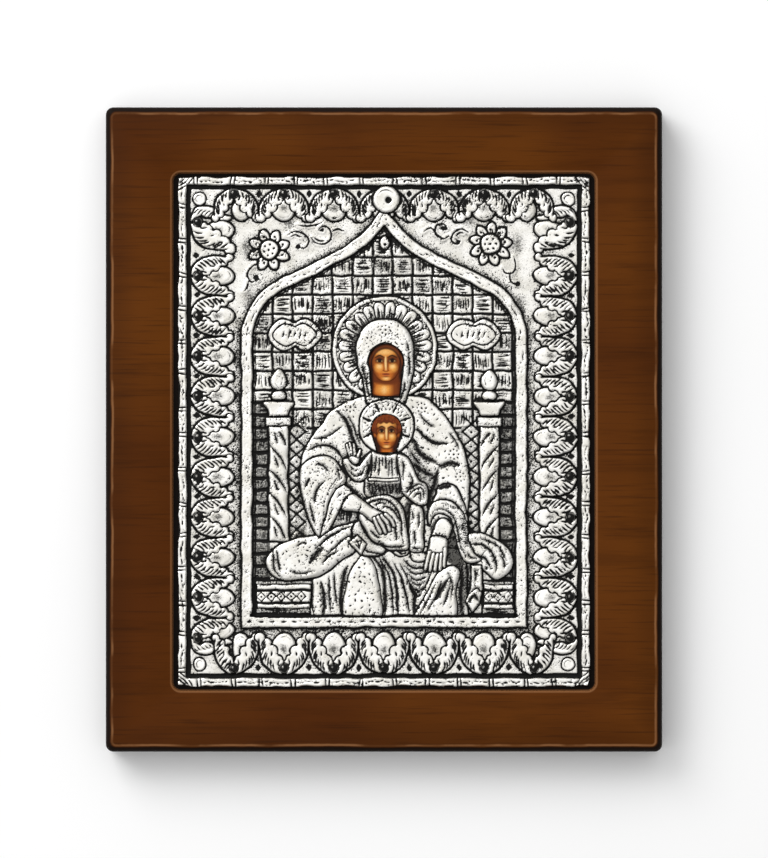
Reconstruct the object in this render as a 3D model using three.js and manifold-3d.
// An icon panel: a stained wooden board with a routed recess, an embossed silver cover that lies in the
// recess, and two small painted plates, the faces, that show through openings cut in the cover.
//
// Millimetres. The panel lies on its back: x to the right and y to the top of the picture, z out of its
// face. The origin is the middle of the board's back. Places on the cover are given in this same frame.
import * as THREE from "three";
import { mergeVertices } from "three/addons/utils/BufferGeometryUtils.js";
import Module from "manifold-3d";

const wasm = await Module();
wasm.setup();

// Driving dimensions: the board and its recess.
const BOARD_WIDTH = 259;
const BOARD_HEIGHT = 300;
const BOARD_THICKNESS = 20;
const BOARD_BEVEL = 3;
const BOARD_CORNER = 3.5;
const RECESS_WIDTH = 197;
const RECESS_HEIGHT = 241;
const RECESS_DEPTH = 3;
const RECESS_CORNER = 4;
const RECESS_DROP = 1; // the recess sits this far below the middle of the board

// Driving dimensions: the cover's sheet, its rim and the heights of its relief above the sheet.
const COVER_WIDTH = 191.4;
const COVER_HEIGHT = 237;
const COVER_CORNER = 1.2;
const SHEET = 1.2;
const RIM_WIDTH = 3.8;
const RIM_RISE = 1.5;
const LEAF_RISE = 1.1;
const BUD_RISE = 1.5;
const ARCH_RISE = 1.9;
const WEAVE_RISE = 0.5;
const HALO_RISE = 0.8;
const CHILD_HALO_RISE = 2;
const FOLD_HALF = 0.9; // half the width of a fold's ridge
const FOLD_RISE = 0.6;

// Driving dimensions: the leaf border, one palmette unit to each pitch. The unit at each end of a row or a
// column has one half narrower than the pitch, and a bent leaf turns the corner beside it.
const BORDER_SIDE = 90; // from the middle to where the leaves of the left and right columns start
const BORDER_TOP = 112.3;
const BORDER_BOTTOM = -114.3;
const SIDE_UNITS = 10;
const SIDE_PITCH = 18.72;
const SIDE_FIRST = 71.5;
const SIDE_DEPTH = 20.6;
const HEAD_UNIT = 96.5; // the unit at the head of each column
const HEAD_HALF = 12.9;
const ROW_UNITS = 7;
const ROW_PITCH = 23.3;
const ROW_END_HALF = 9.2;
const TOP_DEPTH = 15.5;
const BOTTOM_DEPTH = 20;
const BUD_RADIUS = 4.4;
const BUD_SETBACK = 4.9; // from the leaf tips back to the bud's centre
const BUD_SHIFT = 3.5; // an end unit's bud stands this far towards its wider half
const ROSETTE_X = 85.7;
const ROSETTE_Y = 108.3;
const ROSETTE_RADIUS = 2.6;

// Driving dimensions: the ogee arch. A shoulder arc leaves each leg, a straight run follows it, and a hollow
// arc ends at the point.
const ARCH_HALF = 66.3;
const ARCH_BAR = 5;
const ARCH_FOOT = -92;
const ARCH_SPRING = 42;
const SHOULDER_RADIUS = 30.7;
const SHOULDER_TURN = THREE.MathUtils.degToRad(64);
const STRAIGHT_RUN = 30;
const ARCH_POINT = 104.4;
const SHOULDER_STEPS = 4;
const HOLLOW_STEPS = 3;
const FINIAL = { x: 1, y: 107, radius: 6.2, eye: 2.4 };

// Driving dimensions: the figures' places.
const TILE_WIDTH = 9.3;
const TILE_HEIGHT = 8.85;
const TILE_GAP = 1;
const TILE_ORIGIN = { x: -0.6, y: 67 };
const HALO = { x: 0.3, y: 37.6, radius: 24.4, rim: 2.2, ray: 14.5, rays: 26 };
const CHILD_HALO = { x: 1.2, y: 1.4, radius: 12.8 };
const MOTHER_OPENING = { x: 0.9, crown: 40, chin: 15.3, half: 8.2, neck: 6.4 };
const CHILD_OPENING = { x: 1.2, crown: 7.2, chin: -10.8, half: 7.2, neck: 4.4 };
const INLAY_GAP = 0.3;
const INLAY_RISE = 1.2;
const CARTOUCHE = { x: 41.6, y: 44.2, half: 12.4, lobe: 7.2 };
const POST = { x: 49, half: 4.4, head: 1.5, foot: -52, bands: 6, lean: 5, gap: 0.6, rise: 1.5 };
const ABACUS = { half: 5.8, bottom: 1.6, top: 5.6, rise: 1.8 };
const CAPITAL = { foot: 4.4, head: 7, bottom: 6.4, top: 13, rise: 1.9 };
const BALL = { y: 16.2, radius: 3.4, rise: 1.8 };
const EGG = { y: 23.3, halfWidth: 3.6, halfHeight: 4.7, rise: 1.7 };
const LOZENGE = { half: 2.8, halfHeight: 3.6, rise: 0.7 };
const LOZENGE_PITCH = 9.4;
const PLINTH = {
  top: -71,
  rise: 0.7,
  ledges: [
    [-74.6, -72],
    [-82.6, -80.6],
  ],
  ledgeRise: 1.1,
  stud: { half: 2, halfHeight: 2.4 },
  studPitch: 4.6,
  studLine: -77.6,
};
const FLOOR_LINE = -87.4;

// Levels worked out from the above.
const RECESS_FLOOR = BOARD_THICKNESS - RECESS_DEPTH;
const GROUND = RECESS_FLOOR + SHEET;
const SINK = 0.6; // relief pieces are rooted this deep in the sheet
const MIDDLE = -RECESS_DROP;

// A closed geometry made ready to be joined or cut.
function solid(geometry) {
  geometry.deleteAttribute("normal");
  geometry.deleteAttribute("uv");
  const merged = mergeVertices(geometry, 1e-4);
  return new wasm.Manifold(
    new wasm.Mesh({
      numProp: 3,
      vertProperties: merged.getAttribute("position").array,
      triVerts: new Uint32Array(merged.index.array),
    }),
  );
}

// A finished body as a named mesh.
function meshOf(made, name, material) {
  const { vertProperties, triVerts } = made.getMesh();
  const geometry = new THREE.BufferGeometry()
    .setAttribute("position", new THREE.BufferAttribute(vertProperties, 3))
    .setIndex(new THREE.BufferAttribute(triVerts, 1));
  geometry.computeVertexNormals();
  const mesh = new THREE.Mesh(geometry, material);
  mesh.name = name;
  return mesh;
}

// A prism of an outline between two heights, with holes through it.
function prism(outline, bottom, top, holes = []) {
  const shape = new THREE.Shape(outline);
  shape.holes = holes.map((hole) => new THREE.Path(hole));
  const geometry = new THREE.ExtrudeGeometry(shape, { depth: top - bottom, bevelEnabled: false });
  geometry.translate(0, 0, bottom);
  return solid(geometry);
}

// A raised part of the relief, rooted in the sheet. Its sides lean in by slope, in one flat or in several
// that make a quarter round.
function raised(outline, rise, slope = 0, flats = 1, holes = []) {
  if (slope === 0) return prism(outline, GROUND - SINK, GROUND + rise, holes);
  const shape = new THREE.Shape(outline);
  shape.holes = holes.map((hole) => new THREE.Path(hole));
  const geometry = new THREE.ExtrudeGeometry(shape, {
    depth: SINK,
    bevelThickness: rise,
    bevelSize: slope,
    bevelOffset: -slope,
    bevelSegments: flats,
  });
  geometry.translate(0, 0, GROUND - SINK);
  return solid(geometry);
}

const at = (x, y) => new THREE.Vector2(x, y);
const mirrored = (outline) => outline.map((p) => at(-p.x, p.y)).reverse();
const moved = (outline, x, y) => outline.map((p) => at(p.x + x, p.y + y));

// A smooth closed outline through a few points, given as [x, y] pairs counterclockwise.
function smooth(points, samples) {
  const curve = new THREE.CatmullRomCurve3(
    points.map(([x, y]) => new THREE.Vector3(x, y, 0)),
    true,
    "centripetal",
  );
  const outline = curve.getPoints(samples).slice(0, -1);
  return outline.map((p) => at(p.x, p.y));
}

function circle(x, y, radius, sides) {
  return Array.from({ length: sides }, (_, i) => {
    const turn = (2 * Math.PI * i) / sides;
    return at(x + radius * Math.cos(turn), y + radius * Math.sin(turn));
  });
}

function rectangle(left, bottom, right, top) {
  return [at(left, bottom), at(right, bottom), at(right, top), at(left, top)];
}

function lozenge(x, y, { half, halfHeight }) {
  return [at(x, y - halfHeight), at(x + half, y), at(x, y + halfHeight), at(x - half, y)];
}

// A rectangle with quarter-round corners, its middle at the height y.
function roundedRectangle(width, height, corner, y, steps = 4) {
  const centres = [
    [1, 1],
    [-1, 1],
    [-1, -1],
    [1, -1],
  ];
  return centres.flatMap(([sx, sy], quarter) =>
    Array.from({ length: steps + 1 }, (_, i) => {
      const turn = ((quarter + i / steps) * Math.PI) / 2;
      return at(
        sx * (width / 2 - corner) + corner * Math.cos(turn),
        y + sy * (height / 2 - corner) + corner * Math.sin(turn),
      );
    }),
  );
}

// A fold: a ridge that runs along a curve through a few points and stands half out of what it lies on.
function fold(points, level, half = FOLD_HALF, rise = FOLD_RISE, steps = 3) {
  const curve = new THREE.CatmullRomCurve3(points.map(([x, y]) => new THREE.Vector3(x, y, GROUND + level)));
  const section = new THREE.Shape([at(rise, 0), at(0, half), at(-rise, 0), at(0, -half)]);
  return solid(new THREE.ExtrudeGeometry(section, { extrudePath: curve, steps, bevelEnabled: false }));
}

// The wooden board, bevelled round the front, with its recess.
function makeBoard() {
  const shape = new THREE.Shape(roundedRectangle(BOARD_WIDTH, BOARD_HEIGHT, BOARD_CORNER, 0, 3));
  const geometry = new THREE.ExtrudeGeometry(shape, {
    depth: BOARD_THICKNESS - BOARD_BEVEL,
    bevelThickness: BOARD_BEVEL,
    bevelSize: BOARD_BEVEL,
    bevelOffset: -BOARD_BEVEL,
    bevelSegments: 1,
  });
  const below = 2 * BOARD_BEVEL;
  const underBack = prism(rectangle(-BOARD_WIDTH, -BOARD_HEIGHT, BOARD_WIDTH, BOARD_HEIGHT), -below, 0);
  const recess = prism(
    roundedRectangle(RECESS_WIDTH, RECESS_HEIGHT, RECESS_CORNER, MIDDLE),
    RECESS_FLOOR,
    BOARD_THICKNESS + below,
  );
  return solid(geometry).subtract(underBack).subtract(recess);
}

// The bar round the cover's edge.
function makeRim() {
  const outer = roundedRectangle(COVER_WIDTH, COVER_HEIGHT, COVER_CORNER, MIDDLE, 2);
  const halfWidth = COVER_WIDTH / 2 - RIM_WIDTH;
  const halfHeight = COVER_HEIGHT / 2 - RIM_WIDTH;
  const inner = rectangle(-halfWidth, MIDDLE - halfHeight, halfWidth, MIDDLE + halfHeight);
  return raised(outer, RIM_RISE, 0.9, 1, [inner.reverse()]);
}

// Half of a palmette's outline: the round outer edge from the rim, the leaf's tip, then the lobes back in.
function halfPalmette(half, depth) {
  const shoulder = 0.66 * depth;
  const outer = [0.4, 0.78].map((share) => {
    const turn = (share * Math.PI) / 2;
    return at(half * Math.sin(turn), shoulder * (1 - Math.cos(turn)));
  });
  const lobes = [
    [0.98, 0.78],
    [0.8, 1],
    [0.7, 0.8],
    [0.5, 0.79],
    [0.54, 0.58],
    [0.3, 0.52],
  ].map(([u, v]) => at(u * half, v * depth));
  return [...outer, ...lobes];
}

// One palmette in its own frame: u along the border, v away from the rim. A half of no width is left off.
function palmette(leftHalf, rightHalf, depth, place) {
  const right = rightHalf > 0 ? halfPalmette(rightHalf, depth) : [];
  const left = leftHalf > 0 ? mirrored(halfPalmette(leftHalf, depth)) : [];
  const leaves = [at(0, 0), ...right, at(0, 0.3 * depth), ...left];
  const aside = BUD_SHIFT * Math.sign(rightHalf - leftHalf);
  const bud = circle(aside, depth - BUD_SETBACK, BUD_RADIUS, 8);
  return raised(leaves.map(place), LEAF_RISE).add(raised(bud.map(place), BUD_RISE, 0.9));
}

// The bent leaf beside an end unit, in the unit's own frame.
const CORNER_LEAF = [
  [0.3, 0.3],
  [4.6, 3.2],
  [7, 2.2],
  [10, 2.4],
  [12.5, 1.2],
  [17, 0.6],
  [19, 2.2],
  [14.4, 4],
  [10.5, 6.8],
  [6, 7.6],
  [2, 6],
].map(([v, u]) => at(u, v));

// The leaf border: a column of palmettes on each side, a row above and below, and a rosette in each corner.
function makeBorder() {
  const units = [];
  for (const side of [-1, 1]) {
    const column = (y, upper, lower) => {
      const place = side < 0 ? (p) => at(-BORDER_SIDE + p.y, y - p.x) : (p) => at(BORDER_SIDE - p.y, y + p.x);
      const halves = side < 0 ? [upper, lower] : [lower, upper];
      units.push(palmette(...halves, SIDE_DEPTH, place));
    };
    const last = SIDE_FIRST - (SIDE_UNITS - 1) * SIDE_PITCH;
    const half = 0.495 * SIDE_PITCH;
    column(HEAD_UNIT, 0, HEAD_HALF);
    for (let i = 0; i < SIDE_UNITS - 1; i++) column(SIDE_FIRST - i * SIDE_PITCH, half, half);
    column(last, half, 0);
    const bent = (y, up) => {
      const outline = CORNER_LEAF.map((p) => at(side * (BORDER_SIDE - p.y), y + up * p.x));
      units.push(raised(side * up > 0 ? outline : outline.reverse(), LEAF_RISE));
    };
    bent(HEAD_UNIT, 1);
    bent(last, -1);
  }
  const end = (ROW_UNITS - 1) / 2;
  for (let i = -end; i <= end; i++) {
    const x = i * ROW_PITCH;
    const left = i === -end ? ROW_END_HALF : 0.495 * ROW_PITCH;
    const right = i === end ? ROW_END_HALF : 0.495 * ROW_PITCH;
    units.push(palmette(left, right, BOTTOM_DEPTH, (p) => at(x + p.x, BORDER_BOTTOM + p.y)));
    const underFinial = i === 0;
    if (!underFinial) units.push(palmette(right, left, TOP_DEPTH, (p) => at(x - p.x, BORDER_TOP - p.y)));
  }
  for (const sx of [-1, 1]) {
    for (const sy of [-1, 1]) {
      units.push(raised(circle(sx * ROSETTE_X, MIDDLE + sy * ROSETTE_Y, ROSETTE_RADIUS, 8), LEAF_RISE, 0.6));
    }
  }
  return units.reduce((border, unit) => border.add(unit));
}

// Half of the ogee arch, from the foot of the right leg to the point, drawn in by inset from the outer edge.
function halfArch(inset) {
  const centre = at(ARCH_HALF - SHOULDER_RADIUS, ARCH_SPRING);
  const radial = at(Math.cos(SHOULDER_TURN), Math.sin(SHOULDER_TURN));
  const uphill = at(-radial.y, radial.x).multiplyScalar(STRAIGHT_RUN);
  const joint = radial.clone().multiplyScalar(SHOULDER_RADIUS).add(centre).add(uphill);
  const toPoint = joint.clone().sub(at(0, ARCH_POINT));
  const hollowRadius = -toPoint.lengthSq() / (2 * radial.dot(toPoint));
  const hollow = radial.clone().multiplyScalar(hollowRadius).add(joint);
  const start = Math.atan2(joint.y - hollow.y, joint.x - hollow.x);
  const outline = [at(ARCH_HALF - inset, ARCH_FOOT + inset)];
  for (let i = 0; i <= SHOULDER_STEPS; i++) {
    const turn = (SHOULDER_TURN * i) / SHOULDER_STEPS;
    const radius = SHOULDER_RADIUS - inset;
    outline.push(at(centre.x + radius * Math.cos(turn), centre.y + radius * Math.sin(turn)));
  }
  const reach = hollowRadius + inset;
  const end = -Math.acos(-hollow.x / reach);
  for (let i = 0; i <= HOLLOW_STEPS; i++) {
    const turn = start + ((end - start) * i) / HOLLOW_STEPS;
    outline.push(at(hollow.x + reach * Math.cos(turn), hollow.y + reach * Math.sin(turn)));
  }
  return outline;
}

// The whole arch outline: the right half, and its mirror image without the shared point.
function archOutline(inset) {
  const right = halfArch(inset);
  return [...right, ...mirrored(right).slice(1)];
}

function makeArch() {
  const bar = raised(archOutline(0), ARCH_RISE, 0.8, 1, [archOutline(ARCH_BAR).reverse()]);
  const disc = raised(circle(FINIAL.x, FINIAL.y, FINIAL.radius, 16), ARCH_RISE + 0.3, 1.2);
  const eye = prism(circle(FINIAL.x, FINIAL.y, FINIAL.eye, 8), GROUND + 1, GROUND + 2 * ARCH_RISE);
  return bar.add(disc).subtract(eye);
}

// A flower of the spandrels: its ring of petals and the round boss in the middle.
function flower(x, y, radius, petals) {
  const points = [];
  const steps = 3;
  for (let i = 0; i < petals * steps; i++) {
    const turn = (2 * Math.PI * i) / (petals * steps);
    const reach = i % steps === 0 ? 0.55 * radius : radius;
    points.push(at(x + reach * Math.cos(turn), y + reach * Math.sin(turn)));
  }
  return raised(points, LEAF_RISE * 0.7).add(raised(circle(x, y, 0.47 * radius, 12), BUD_RISE, 1.2));
}

// A scroll: a thin roll that runs through a few points and curls up at its end.
const scroll = (points) => fold(points, 0.2, 1, 0.9, 6);

// The flowers and scrolls in the corners over the arch.
function makeSpandrels() {
  const left = [
    flower(-53.5, 83.5, 9.5, 8),
    scroll([[-45, 91], [-38.5, 92.5], [-35, 88.5], [-39.5, 85]]),
    scroll([[-34, 89], [-29, 86.5], [-24.5, 90.5], [-27.5, 95]]),
    scroll([[-58, 77], [-62.5, 74], [-62.5, 69.5], [-59, 70.5]]),
  ];
  const right = [
    flower(49.5, 86.3, 10, 9),
    scroll([[40, 91.5], [35, 93.5], [31.5, 90.5], [34.5, 87]]),
    scroll([[30, 90], [27.5, 88], [23.5, 91], [26, 95]]),
    scroll([[60.5, 80], [61.5, 75.5], [58, 72.5], [56, 75.5]]),
  ];
  return [...left, ...right].reduce((all, piece) => all.add(piece));
}

// The mantle's silhouette from the neck down to the cushions, counterclockwise.
const MANTLE = smooth(
  [[-9, 19], [-20, 13.5], [-27, 7], [-35, -6], [-39, -20], [-38, -32], [-31, -49], [0, -56], [36, -56],
    [39.8, -36], [39.5, -20], [34, -4], [27, 7], [20, 14], [11, 19]],
  26,
);

// The basket-weave ground: every other tile stands proud, inside the arch and where the halo, the cartouches,
// the posts and the mantle leave it to be seen.
function makeWeave() {
  const w = (TILE_WIDTH - TILE_GAP) / 2;
  const h = (TILE_HEIGHT - TILE_GAP) / 2;
  const right = halfArch(ARCH_BAR);
  const roomBelowArch = (x) => {
    const i = right.findIndex((p, k) => k > 0 && p.x <= x);
    const a = right[i - 1];
    const b = right[i];
    return b.y + ((x - b.x) / (a.x - b.x)) * (a.y - b.y);
  };
  const hides = (x, y) => {
    const farX = Math.abs(x) + w;
    const pastArch = farX > ARCH_HALF - ARCH_BAR || y + h > roomBelowArch(farX);
    const onHalo = Math.hypot(x - HALO.x, y - HALO.y) < HALO.radius - 2;
    const onCartouche = Math.abs(Math.abs(x) - CARTOUCHE.x) < CARTOUCHE.half && Math.abs(y - CARTOUCHE.y) < h;
    const onFigure = y < 26 && Math.abs(x) < 29 - 0.6 * y;
    const onPost = y < 30 && Math.abs(x) > POST.x - 2 * w;
    return pastArch || onHalo || onCartouche || onFigure || onPost;
  };
  const tiles = [];
  for (let row = -8; row <= 3; row++) {
    for (let column = -6; column <= 6; column++) {
      const x = TILE_ORIGIN.x + column * TILE_WIDTH;
      const y = TILE_ORIGIN.y + row * TILE_HEIGHT;
      const proud = (row + column) % 2 === 0;
      if (proud && !hides(x, y)) tiles.push(raised(rectangle(x - w, y - h, x + w, y + h), WEAVE_RISE));
    }
  }
  return tiles.reduce((weave, tile) => weave.add(tile));
}

// A cartouche: two lobes side by side with pointed ends, a raised border round a sunk field.
function cartouche(x) {
  const { half, lobe, y } = CARTOUCHE;
  const quarter = [[1, 0], [0.84, 0.64], [0.45, 1]];
  const outline = (inset) => {
    const right = quarter.map(([u, v]) => at(u * (half - inset), v * (lobe - inset)));
    const upper = [...right, at(0, 0.76 * (lobe - inset)), ...mirrored(right)];
    const lower = upper.slice(1, -1).map((p) => at(-p.x, -p.y));
    return moved([...upper, ...lower], x, y);
  };
  return raised(outline(0), 1.1, 0, 1, [outline(2.4).reverse()]).add(raised(outline(2), 0.7));
}

// A halo: a disc with a raised rim, and rays between the rim and the head.
function makeHalo(place, sides, level) {
  const disc = circle(place.x, place.y, place.radius, sides);
  const inner = circle(place.x, place.y, place.radius - place.rim, sides).reverse();
  let made = raised(disc, level).add(raised(disc, level + 0.5, 0, 1, [inner]));
  const tip = place.radius - place.rim - 0.6;
  for (let i = 0; i < place.rays; i++) {
    const turn = (2 * Math.PI * i) / place.rays;
    const hidden = Math.sin(turn) < -0.7; // the shoulders cover these
    if (hidden) continue;
    const ray = [[place.ray, 0], [tip - 1.2, -1.7], [tip, 0], [tip - 1.2, 1.7]].map(([r, s]) =>
      at(place.x, place.y).add(at(r, s).rotateAround(at(0, 0), turn)),
    );
    made = made.add(raised(ray, level + 0.4));
  }
  return made;
}

// One side of the throne: a post of twisted bands under a capital, a ball and an egg, beside a lattice of
// lozenges.
function makePost(side) {
  const { half, head, foot, bands, lean, gap, rise } = POST;
  const x = side * POST.x;
  const parts = [];
  const pitch = (head - foot - lean) / bands;
  for (let i = 0; i < bands; i++) {
    const top = head - i * pitch;
    const low = top - pitch + gap;
    const band = [at(-half, low), at(half, low - lean), at(half, top - lean), at(-half, top)];
    parts.push(raised(moved(side < 0 ? band : mirrored(band), x, 0), rise));
  }
  const abacus = rectangle(x - ABACUS.half, ABACUS.bottom, x + ABACUS.half, ABACUS.top);
  const capital = [
    at(x - CAPITAL.foot, CAPITAL.bottom),
    at(x + CAPITAL.foot, CAPITAL.bottom),
    at(x + CAPITAL.head, CAPITAL.top),
    at(x - CAPITAL.head, CAPITAL.top),
  ];
  const egg = circle(0, 0, 1, 10).map((p) => at(x + EGG.halfWidth * p.x, EGG.y + EGG.halfHeight * p.y));
  parts.push(raised(abacus, ABACUS.rise, 0.6));
  parts.push(raised(capital, CAPITAL.rise, 0.7));
  parts.push(raised(circle(x, BALL.y, BALL.radius, 8), BALL.rise, 1.2));
  parts.push(raised(egg, EGG.rise, 1.3));
  const middle = x - side * (half + 3.4);
  for (let y = foot + 6; y < -4; y += LOZENGE_PITCH) {
    parts.push(raised(lozenge(middle, y, LOZENGE), LOZENGE.rise));
  }
  return parts.reduce((all, piece) => all.add(piece));
}

// The throne's plinth on one side: a block with two ledges and a row of lozenges between them.
function makePlinth(left, right) {
  const { ledges, rise, ledgeRise, stud, studPitch, studLine } = PLINTH;
  let plinth = raised(rectangle(left, FLOOR_LINE, right, PLINTH.top), rise);
  for (const [bottom, top] of ledges) {
    plinth = plinth.add(raised(rectangle(left, bottom, right, top), ledgeRise));
  }
  for (let x = left + 0.57 * studPitch; x < right - stud.half; x += studPitch) {
    plinth = plinth.add(raised(lozenge(x, studLine, stud), ledgeRise));
  }
  return plinth;
}

// The seated mother: skirt and knees, cushions, mantle, sleeves, veil and hands, lowest first.
function makeMother() {
  const skirt = [at(-34, FLOOR_LINE), at(36, FLOOR_LINE), at(36, -56), at(-8, -52), at(-33, -68)];
  const leftKnee = smooth([[-18.5, -87], [-16, -72], [-8.5, -59], [-2.5, -68], [0, -87]], 14);
  const rightKnee = smooth([[17, -87], [22, -72], [29, -60], [34.5, -66], [34, -87]], 14);
  const bolsterLeft = smooth(
    [[-55, -61], [-52, -67.5], [-46, -70], [-36, -69.5], [-28, -66], [-14, -55], [-13, -44], [-30, -49],
      [-48, -53.5]],
    16,
  );
  const bolsterRight = smooth(
    [[39, -52], [41, -63], [50, -70], [57, -67.5], [60, -62], [57, -56], [51, -52.5]],
    16,
  );
  const sash = [at(40, -80), at(42, -86), at(45, -79), at(47, -62), at(38.5, -62.5)];
  const sleeveLeft = smooth(
    [[-37.5, -15], [-39.3, -24], [-35, -40], [-30, -49.5], [-23, -44], [-14, -38], [-9, -33], [-18, -24],
      [-27, -12]],
    17,
  );
  const sleeveRight = smooth(
    [[22, -34], [22, -42], [29, -36], [34, -44], [35.5, -58], [39, -58], [39.8, -38], [38.5, -22], [30, -18]],
    17,
  );
  const veil = smooth(
    [[-9.5, 14], [-12, 24], [-12.8, 37], [-9, 47], [0.3, 51], [9.5, 47], [13.2, 37], [12.5, 24], [11, 14]],
    20,
  );
  const handLeft = smooth([[-13, -36.5], [-6, -42], [-1, -44], [1, -40.5], [-9, -32]], 10);
  const handRight = smooth([[24, -46], [21.5, -55], [23.5, -59], [29, -58], [30.5, -47]], 10);
  const knot = [at(-11.5, -47), at(-16.5, -53), at(-11.5, -59.5), at(-7.5, -53)];
  const pieces = [
    raised(leftKnee, 2.2, 1.8),
    raised(rightKnee, 2.1, 1.8),
    raised(MANTLE, 1.5, 1.2),
    raised(bolsterLeft, 2.1, 2, 2),
    raised(bolsterRight, 1.8, 1.8, 2),
    raised(sash, 1.8, 0.8),
    raised(sleeveLeft, 2.3, 1.6),
    raised(sleeveRight, 2.2, 1.2),
    raised(veil, 2.3, 2, 2),
    raised(handLeft, 3.2, 1),
    raised(handRight, 2.8, 1),
    raised(knot, 2.7, 0.8),
  ];
  const folds = [
    fold([[-19, 9], [-15, 0], [-11, -9]], 1.5),
    fold([[-33, -10], [-26, -8.5], [-18, -16]], 1.6),
    fold([[-34, -20], [-33.5, -32], [-32, -44]], 2.3),
    fold([[-27, -20], [-28, -32], [-28.5, -44]], 2.3),
    fold([[-20, -25], [-23, -33], [-24.5, -42]], 2.3),
    fold([[14, -1], [20, -6], [29, -7]], 1.5),
    fold([[13, -9], [20, -15], [34, -15]], 1.5),
    fold([[26, -25], [32, -26], [37, -38]], 2.2),
    fold([[-25, -85], [-23.5, -76], [-20, -68]], 1.3),
    fold([[-30, -85], [-29.5, -77], [-27, -71]], 1.3),
    fold([[3.5, -85], [2, -72], [-1, -62]], 1.3),
    fold([[8.5, -85], [6, -70], [2, -60]], 1.3),
    fold([[22, -85], [25, -77], [28, -68]], 2.1),
  ];
  const fingers = [
    fold([[-3, -42.8], [2, -47.5]], 2.6, 0.9, 1, 1),
    fold([[-2, -41.6], [4, -46.4]], 2.6, 0.9, 1, 1),
    fold([[-1, -40.6], [6, -44.6]], 2.6, 0.9, 1, 1),
    fold([[23, -55], [19.5, -63]], 1.5, 1, 1.4, 1),
    fold([[24.6, -56], [22, -65.5]], 1.5, 1, 1.4, 1),
    fold([[26.4, -56], [24.8, -66]], 1.5, 1, 1.4, 1),
    fold([[28.2, -55], [27.6, -64.5]], 1.5, 1, 1.4, 1),
  ];
  return [...pieces, ...folds, ...fingers].reduce((all, piece) => all.add(piece), raised(skirt, 1.2));
}

// The child on the lap: halo, robe, arms, lap and legs.
function makeChild() {
  const childHalo = raised(circle(CHILD_HALO.x, CHILD_HALO.y, CHILD_HALO.radius, 20), CHILD_HALO_RISE, 0.6);
  const robe = smooth([[-8, -11.5], [-10, -20], [-9, -32], [10, -32], [11, -22], [9, -11.5], [1, -9]], 14);
  const armLeft = smooth([[-15.5, -9], [-17, -18], [-14, -24], [-9, -22], [-6, -12.5], [-12, -15]], 14);
  const armRight = smooth(
    [[7, -11.5], [8, -22], [10, -30.5], [19, -31], [20, -26.5], [14, -21], [11, -12]],
    14,
  );
  const lap = smooth([[-11, -38], [-4, -48], [3, -56.5], [9.5, -57.5], [9, -40], [4, -33], [-6, -31]], 16);
  const leg = smooth([[11.5, -57], [11, -42], [13, -34], [16.5, -35], [17.5, -46], [17.5, -57]], 12);
  const foot = smooth([[8, -57.5], [10, -61], [17, -62], [18, -57]], 8);
  const pieces = [
    raised(robe, 2.5, 1),
    raised(armLeft, 2.8, 0.9),
    raised(armRight, 2.9, 0.9),
    raised(foot, 2.2, 0.5),
    raised(lap, 2.8, 1.6, 2),
    raised(leg, 3, 1.2),
    fold([[-7, -22.8], [8, -22.8]], 2.5, 1, 0.5, 1),
    fold([[-3, -12], [-2, -21.5]], 2.5, 0.7, 0.4, 1),
    fold([[5, -12], [4, -21.5]], 2.5, 0.7, 0.4, 1),
    fold([[-5, -34], [1, -36], [5, -44], [6, -54]], 2.8),
  ];
  return pieces.reduce((all, piece) => all.add(piece), childHalo);
}

// The outline of a face's opening: a round crown over a narrower neck with a flat foot.
function opening(place, grow) {
  const { x, crown, chin, half, neck } = place;
  const middle = crown - half;
  const outline = [at(x - neck - grow, chin - grow), at(x + neck + grow, chin - grow)];
  const steps = 8;
  for (let i = 0; i <= steps; i++) {
    const turn = -0.35 + ((Math.PI + 0.7) * i) / steps;
    outline.push(at(x + (half + grow) * Math.cos(turn), middle + (half + grow) * Math.sin(turn)));
  }
  return outline;
}

// The embossed cover: everything above joined to one sheet, with the two openings cut through it.
function makeCover() {
  const sheet = prism(
    roundedRectangle(COVER_WIDTH, COVER_HEIGHT, COVER_CORNER, MIDDLE, 2),
    RECESS_FLOOR,
    GROUND,
  );
  const relief = [
    makeRim(),
    makeBorder(),
    makeArch(),
    makeSpandrels(),
    makeWeave(),
    cartouche(-CARTOUCHE.x),
    cartouche(CARTOUCHE.x),
    makePost(-1),
    makePost(1),
    makePlinth(-59, -34),
    makePlinth(46.5, 60.4),
    makeHalo(HALO, 28, HALO_RISE),
    makeMother(),
    makeChild(),
  ];
  const cut = (place) => prism(opening(place, 0), RECESS_FLOOR - 1, 2 * BOARD_THICKNESS);
  const above = prism(
    rectangle(-BOARD_WIDTH, -BOARD_HEIGHT, BOARD_WIDTH, BOARD_HEIGHT),
    RECESS_FLOOR,
    2 * BOARD_THICKNESS,
  );
  return relief
    .reduce((cover, part) => cover.add(part), sheet)
    .intersect(above)
    .subtract(cut(MOTHER_OPENING))
    .subtract(cut(CHILD_OPENING));
}

// A painted plate that fills an opening, clear of the cover's cut edge.
const makeFace = (place, rise) =>
  prism(opening(place, -INLAY_GAP), RECESS_FLOOR, GROUND + rise);

const wood = new THREE.MeshStandardMaterial({ color: 0x58301a, roughness: 0.5, metalness: 0 });
const silver = new THREE.MeshStandardMaterial({ color: 0xc9c9c6, roughness: 0.35, metalness: 1 });
const paint = new THREE.MeshStandardMaterial({ color: 0xb06a28, roughness: 0.45, metalness: 0 });

const panel = new THREE.Group();
panel.add(meshOf(makeBoard(), "wood_panel", wood));
panel.add(meshOf(makeCover(), "silver_cover", silver));
panel.add(meshOf(makeFace(MOTHER_OPENING, INLAY_RISE), "mother_face", paint));
panel.add(meshOf(makeFace(CHILD_OPENING, INLAY_RISE + 0.8), "child_face", paint));

export default panel;
